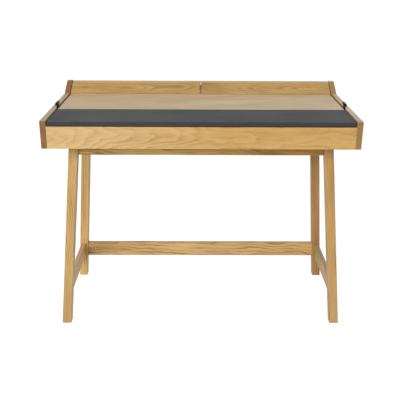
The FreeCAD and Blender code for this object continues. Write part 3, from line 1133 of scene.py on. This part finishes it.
@dataclass
class LegFrame:
    """Splayed legs, aprons and stretchers."""

    leg_section: float = 0.032
    screw_diameter: float = 0.005
    screw_length: float = 0.03
    apron_seeds: Pair = (93.0, 98.0)
    stretcher_seeds: Pair = (104.0, 109.0)
    # The left side stretcher is brightened and the right one darkened: painted light and shade that even
    # out how the key lamp falls on their inner faces.
    stretcher_tints: tuple[Colour, Colour] = ((1.24, 1.27, 1.34), (0.91, 0.93, 0.98))
    leg_span: Pair = (-0.34, -0.05)
    # Each leg's tints are fitted to how bright it looks: partly the timber's tone, partly painted light
    # and shade, such as the left back leg's brighter foot and the right front leg's darker head under the
    # tray.
    legs: dict[str, LegTimber] = field(default_factory=lambda: {
        "left_front_leg": LegTimber((0.97, 0.97, 0.97), (1.06, 1.06, 1.03), taper=0.2, seed=121.0),
        "left_back_leg": LegTimber((1.31, 1.38, 1.36), (0.92, 0.89, 0.89), taper=0.03, seed=134.0),
        "right_front_leg": LegTimber((0.99, 0.98, 1.04), (0.92, 0.87, 0.73), taper=0.02, seed=126.0),
        "right_back_leg": LegTimber((0.8, 0.7, 0.64), (0.98, 0.97, 0.97), taper=0.03, seed=139.0),
    })

    def leg_run(self, node: str) -> Vector:
        """Find the way a leg leans from foot to head.

        Args:
            node: The leg's name.

        Returns:
            Its direction.
        """
        low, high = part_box(node)
        size = high - low
        x_sign = 1 if node.startswith("left") else -1
        y_sign = 1 if "front" in node else -1
        x_lean = x_sign * (size.x - self.leg_section)
        y_lean = y_sign * (size.y - self.leg_section)
        return Vector((x_lean, y_lean, size.z)).normalized()

    def boards(self) -> list[Board]:
        """List the frame's members and their grain.

        Returns:
            One entry for each member.
        """
        found = [
            # The front apron darkens to the right: partly the timber's tone, partly the tray's shadow
            # painted in.
            Board(
                "front_apron", OAK_RAIL, WIDTH, HEIGHT, taper=0.05, seed=71.2,
                tint=(1.15, 1.2, 0.98), far_tint=(0.64, 0.53, 0.365), far_span=(-0.3, 0.45),
            ),
            Board("back_apron", OAK_RAIL, WIDTH, HEIGHT, taper=0.04, seed=76.9),
            # The back stretcher's brighter tint is painted light.
            Board(
                "back_stretcher", OAK_STRETCHER, WIDTH, HEIGHT, seed=505.1,
                tint=(1.16, 1.18, 1.25), far_tint=(1.0, 0.98, 0.95), far_span=(0.08, 0.3),
            ),
            Board("corner_blocks", BEECH, WIDTH, DEPTH, seed=88.8),
        ]
        for i, side in enumerate(SIDES):
            found += [
                Board(side + "_side_apron", OAK_RAIL, DEPTH, HEIGHT, taper=0.04, seed=self.apron_seeds[i]),
                Board(
                    side + "_side_stretcher", SIDE_RAIL, DEPTH, HEIGHT, Cut.CROWN, taper=0.05,
                    seed=self.stretcher_seeds[i], tint=self.stretcher_tints[i],
                ),
            ]
            for node in (side + "_front_leg", side + "_back_leg"):
                leg = self.legs[node]
                found.append(Board(
                    node, OAK_SOLID, self.leg_run(node), WIDTH, taper=leg.taper, seed=leg.seed,
                    tint=leg.tint, far_tint=leg.far_tint, far_span=self.leg_span,
                ))
        return found

    def dress(self) -> None:
        """Finish the frame's members, screws and glides."""
        for board in self.boards():
            board.dress()
        put_on("foot_glides", NYLON.material("glide_nylon"))
        ScrewSet(
            "tray_screws", "desk", "bright_steel", BRIGHT_STEEL,
            self.screw_diameter, self.screw_length, HEIGHT,
        ).build()


@dataclass
class WritingLid:
    """The dark lid with its arms."""

    core_seed: float = 151.7
    screw_diameter: float = 0.0035
    screw_length: float = 0.019

    def dress(self) -> None:
        """Finish the lid's core, linoleum, edging, arms and screws."""
        Board("lid_core", OAK_TOP, WIDTH, DEPTH, seed=self.core_seed).dress()
        put_on("lid_linoleum", LINOLEUM.material("lid_linoleum_grey"))
        put_on("lid_front_edging", LINOLEUM_EDGE.material("lid_edging_grey"))
        for side in SIDES:
            put_on(side + "_lid_arm", ARM_STEEL.material(side + "_arm_black"))
        ScrewSet(
            "lid_arm_screws", "writing_lid", "black_steel", BLACK_STEEL,
            self.screw_diameter, self.screw_length, -WIDTH,
        ).build()


@dataclass
class LidHinges:
    """The ears let into the side panels, with their pins."""

    screw_diameter: float = 0.003
    screw_length: float = 0.016

    def dress(self) -> None:
        """Finish the ears, pins and screws."""
        for side in SIDES:
            put_on(side + "_hinge_ear", BLACK_STEEL.material(side + "_ear_black"))
            put_on(side + "_hinge_pin", BRIGHT_STEEL.material(side + "_pin_steel"))
        ScrewSet(
            "hinge_ear_screws", "desk", "black_steel", BLACK_STEEL,
            self.screw_diameter, self.screw_length, WIDTH,
        ).build()


@dataclass
class RearLids:
    """The two sloped lids along the rear."""

    slope: float = math.radians(27.9)
    tapers: Pair = (0.06, -0.06)
    seeds: Pair = (178.4, 242.3)
    tints: tuple[Colour, Colour] = ((1.06, 1.07, 1.07), (0.79, 0.745, 0.7))
    far_tints: tuple[Colour, Colour] = ((0.86, 0.82, 0.8), (1.31, 1.39, 1.455))
    far_spans: tuple[Pair, Pair] = ((0.06, 0.22), (-0.2, -0.09))

    def dress(self) -> None:
        """Finish the lids and their pivot pins."""
        rise = Vector((0.0, math.cos(self.slope), math.sin(self.slope)))
        for i, side in enumerate(SIDES):
            Board(
                side + "_rear_lid", OAK_REAR, WIDTH, rise, Cut.CROWN, taper=self.tapers[i],
                seed=self.seeds[i], tint=self.tints[i], far_tint=self.far_tints[i],
                far_span=self.far_spans[i],
            ).dress()
        put_on("rear_pivot_pins", BRIGHT_STEEL.material("pivot_pin_steel"))


@dataclass(frozen=True)
class SoftLamp:
    """A soft square lamp that mirror-like surfaces don't show."""

    name: str
    place: Place
    size: float
    power: float

    def hang(self, aim: Vector) -> None:
        """Hang the lamp.

        Args:
            aim: The point it shines at.
        """
        data = bpy.data.lights.new(self.name, "AREA")
        data.shape = "SQUARE"
        data.size = self.size
        data.energy = self.power
        lamp = bpy.data.objects.new(self.name, data)
        lamp.location = self.place
        lamp.rotation_mode = "QUATERNION"
        lamp.rotation_quaternion = (aim - Vector(self.place)).to_track_quat("-Z", "Y")
        lamp.visible_glossy = False
        bpy.context.scene.collection.objects.link(lamp)


@dataclass
class Studio:
    """White room, soft lamps and the camera."""

    camera_place: Place = (-0.0194, -2.2907, 1.275)
    camera_pitch: float = 21.14
    camera_yaw: float = 0.43
    camera_roll: float = 0.3
    lens: float = 57.92
    sensor: float = 36.0
    camera_range: float = 200.0
    ambient: float = 0.28
    floor_reach: float = 40.0
    floor_bounce: float = 0.8
    floor_glow: float = 0.93
    floor_tone: float = 0.3
    lamps: tuple[SoftLamp, ...] = (
        SoftLamp("key_lamp", (-2.6, -6.3, 4.2), size=4.4, power=385.0),
        SoftLamp("top_lamp", (0.2, 0.2, 3.2), size=2.4, power=10.0),
    )
    lamp_aim: Place = (0.0, -0.1, 0.55)

    def seen_plainly(self, graph: Graph) -> Socket:
        """Tell the rays that should see plain white.

        Args:
            graph: The tree of the floor or of the surroundings.

        Returns:
            A socket that is 1 for camera, mirror and glass rays.
        """
        path = graph.node("ShaderNodeLightPath")
        sharp = graph.sum("MAXIMUM", path.outputs["Is Glossy Ray"], path.outputs["Is Transmission Ray"])
        return graph.sum("MAXIMUM", sharp, path.outputs["Is Camera Ray"])

    def build_surroundings(self) -> None:
        """Light the room evenly, and show it white."""
        world = bpy.data.worlds.new("white_room")
        world.use_nodes = True
        bpy.context.scene.world = world
        graph = Graph(world.node_tree)
        glow = world.node_tree.nodes["Background"]
        share = self.seen_plainly(graph)
        level = graph.sum("MULTIPLY_ADD", share, 1.0 - self.ambient, self.ambient)
        glow.inputs["Color"].default_value = rgba(PLAIN)
        graph.feed(glow.inputs["Strength"], level)

    def build_floor(self) -> None:
        """Lay a pale floor that shows white and keeps the desk's shadow."""
        reach = self.floor_reach
        data = bpy.data.meshes.new("floor")
        corners = [(-reach, -reach, 0.0), (reach, -reach, 0.0), (reach, reach, 0.0), (-reach, reach, 0.0)]
        data.from_pydata(corners, [], [(0, 1, 2, 3)])
        floor = bpy.data.objects.new("floor", data)
        bpy.context.scene.collection.objects.link(floor)
        material = bpy.data.materials.new("floor_white")
        material.use_nodes = True
        material.node_tree.nodes.clear()
        graph = Graph(material.node_tree)
        out = graph.node("ShaderNodeOutputMaterial")
        plain = graph.node("ShaderNodeBsdfDiffuse")
        plain.inputs["Color"].default_value = rgba((self.floor_bounce,) * 3)
        shade = graph.node("ShaderNodeBsdfDiffuse")
        shade.inputs["Color"].default_value = rgba((self.floor_tone,) * 3)
        white = graph.node("ShaderNodeEmission")
        white.inputs["Strength"].default_value = self.floor_glow
        shown = graph.node("ShaderNodeAddShader")
        graph.feed(shown.inputs[0], shade.outputs[0])
        graph.feed(shown.inputs[1], white.outputs[0])
        pick = graph.node("ShaderNodeMixShader")
        graph.feed(pick.inputs[0], self.seen_plainly(graph))
        graph.feed(pick.inputs[1], plain.outputs[0])
        graph.feed(pick.inputs[2], shown.outputs[0])
        graph.feed(out.inputs["Surface"], pick.outputs[0])
        data.materials.append(material)

    def build_lamps(self) -> None:
        """Hang the key lamp in front and above, and the weaker one overhead."""
        for lamp in self.lamps:
            lamp.hang(Vector(self.lamp_aim))

    def build_camera(self) -> None:
        """Set the camera where the photograph was taken from."""
        data = bpy.data.cameras.new("camera")
        data.sensor_width = self.sensor
        data.lens = self.lens
        data.clip_end = self.camera_range
        camera = bpy.data.objects.new("camera", data)
        camera.location = self.camera_place
        yaw = Matrix.Rotation(math.radians(-self.camera_yaw), 4, "Z")
        tilt = Matrix.Rotation(math.radians(90.0 - self.camera_pitch), 4, "X")
        roll = Matrix.Rotation(math.radians(self.camera_roll), 4, "Z")
        camera.rotation_euler = (yaw @ tilt @ roll).to_euler()
        bpy.context.scene.collection.objects.link(camera)
        bpy.context.scene.camera = camera

    def build(self) -> None:
        """Set up the room, lamps and camera."""
        bpy.context.scene.view_settings.view_transform = "Standard"
        self.build_surroundings()
        self.build_floor()
        self.build_lamps()
        self.build_camera()
        LOG.info("studio: floor, lamps and camera")


def main() -> None:
    """Dress each part of the desk, then set up the studio."""
    logging.basicConfig(level=logging.INFO, format="%(name)s: %(message)s")
    for part in (Tray(), LegFrame(), WritingLid(), LidHinges(), RearLids()):
        part.dress()
    Studio().build()


if __name__ == "__main__":
    main()
